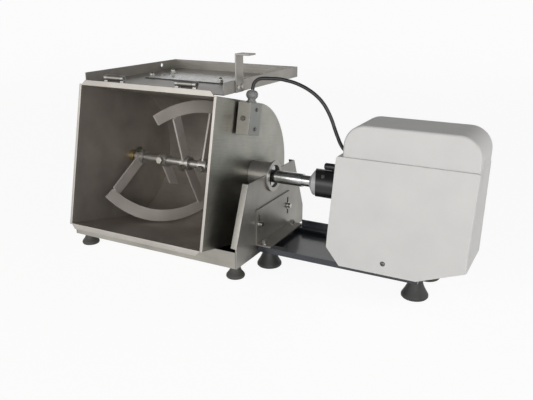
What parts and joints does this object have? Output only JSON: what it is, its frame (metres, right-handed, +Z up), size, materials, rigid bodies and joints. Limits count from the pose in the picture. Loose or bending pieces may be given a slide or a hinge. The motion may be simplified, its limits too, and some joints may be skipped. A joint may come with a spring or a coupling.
{
  "type": "meat mixer",
  "caption": "Tilting stainless meat mixer: tub with paddle shaft and hinged lid on a base frame, driven by a separate covered gearmotor through an open shaft.",
  "frame": {"origin": "centre of the footprint's box, on the surface that the feet stand on", "axes": "+X from the tub to the drive unit along the shaft, +Y to the back, +Z up"},
  "size_m": [0.7901, 0.3776, 0.4006],
  "materials": {
    "frame_steel": "brushed stainless sheet",
    "tub_steel": "brushed stainless sheet",
    "lid_steel": "brushed stainless sheet",
    "turned_steel": "turned stainless",
    "blade_steel": "brushed stainless bar",
    "bright_steel": "ground and polished",
    "fastener_steel": "bright zinc",
    "bearing_steel": "ground",
    "gear_steel": "machined",
    "bronze": "turned bronze",
    "tray_black": "satin black coating",
    "foot_rubber": "moulded",
    "mixer_foot_rubber": "moulded",
    "seal_rubber": "moulded",
    "liner_plastic": "turned",
    "cover_plastic": "moulded, fine grain",
    "tube_plastic": "moulded",
    "cone_grey": "satin",
    "case_aluminium": "cast",
    "motor_grey": "enamel",
    "lamination": "stacked sheet",
    "copper_winding": "enamelled wire",
    "switch_grey": "moulded",
    "cable_black": "extruded jacket",
    "window_clear": "clear sheet"
  },
  "bodies": {
    "frame": {"base_pan": "frame_steel", "left_upright": "frame_steel", "right_upright": "frame_steel", "base_feet": "mixer_foot_rubber", "foot_bolts": "fastener_steel", "saddle_liners": "liner_plastic", "mount_bracket": "frame_steel", "bracket_screws": "fastener_steel", "shelf_bolts": "fastener_steel", "motor_tray": "tray_black", "motor_feet": "foot_rubber", "motor_cover": "cover_plastic", "cover_brackets": "tray_black", "cover_screws": "fastener_steel", "shaft_tube": "tube_plastic", "shaft_cone": "cone_grey", "tube_screw": "fastener_steel", "gearbox_case": "case_aluminium", "gearbox_lid": "case_aluminium", "drive_bearings": "bearing_steel", "layshaft_bearings": "bearing_steel", "motor_case": "motor_grey", "motor_end_shield": "motor_grey", "motor_cradle": "tray_black", "stator_core": "lamination", "stator_windings": "copper_winding", "motor_bearings": "bearing_steel", "cable_grommet": "seal_rubber", "sensor_cable": "cable_black"},
    "tub": {"tub_shell": "tub_steel", "left_end_plate": "tub_steel", "right_end_plate": "tub_steel", "left_trunnion": "turned_steel", "right_trunnion": "turned_steel", "trunnion_cap": "turned_steel", "shaft_bushes": "bronze", "shaft_seals": "seal_rubber", "hinge_eyes": "turned_steel", "hinge_pins": "bright_steel", "switch_bracket": "frame_steel", "switch_box": "switch_grey", "switch_screws": "fastener_steel", "cable_gland": "switch_grey"},
    "lid": {"lid_panel": "lid_steel", "lid_window": "window_clear", "window_nuts": "fastener_steel", "lid_strap": "lid_steel", "strap_rivets": "fastener_steel"},
    "mixing_shaft": {"mixing_shaft": "blade_steel", "hub_collars": "turned_steel", "blade_arms": "blade_steel", "lower_blade": "blade_steel", "upper_blade": "blade_steel", "hub_bolts": "fastener_steel"},
    "drive_shaft": {"drive_shaft": "bright_steel", "output_gear": "gear_steel"},
    "layshaft": {"layshaft": "gear_steel"},
    "motor_rotor": {"motor_rotor": "lamination", "cooling_fan": "tube_plastic"},
    "locking_knob": {"locking_knob": "tube_plastic"}
  },
  "joints": [
    {"name": "tub_tilt", "type": "hinge", "parent": "frame", "child": "tub", "pos_m": [0, 0.00722, 0.1656], "axis": [1, 0, 0], "range_deg": [-77, 0], "deforming": ["sensor_cable"]},
    {"name": "lid_hinge", "type": "hinge", "parent": "tub", "child": "lid", "pos_m": [0, -0.10893, 0.34841], "axis": [1, 0, 0], "range_deg": [0, 257.5]},
    {"name": "drive_turn", "type": "hinge", "parent": "frame", "child": "drive_shaft", "pos_m": [0, 0.00722, 0.1656], "axis": [1, 0, 0], "continuous": true},
    {"name": "mixer_turn", "type": "hinge", "parent": "frame", "child": "mixing_shaft", "pos_m": [0, 0.00722, 0.1656], "axis": [1, 0, 0], "continuous": true},
    {"name": "layshaft_turn", "type": "hinge", "parent": "frame", "child": "layshaft", "pos_m": [0, 0.00722, 0.1116], "axis": [1, 0, 0], "continuous": true},
    {"name": "rotor_turn", "type": "hinge", "parent": "frame", "child": "motor_rotor", "pos_m": [0, 0.00722, 0.1656], "axis": [1, 0, 0], "continuous": true},
    {"name": "knob_turn", "type": "hinge", "parent": "frame", "child": "locking_knob", "pos_m": [0.13, 0.00722, 0.199], "axis": [0, 0, 1], "range_deg": [0, 180]}
  ],
  "couplings": [
    {"joint": "drive_turn", "follows": "mixer_turn", "ratio": 1},
    {"joint": "layshaft_turn", "follows": "mixer_turn", "ratio": -3.8},
    {"joint": "rotor_turn", "follows": "mixer_turn", "ratio": 19}
  ]
}
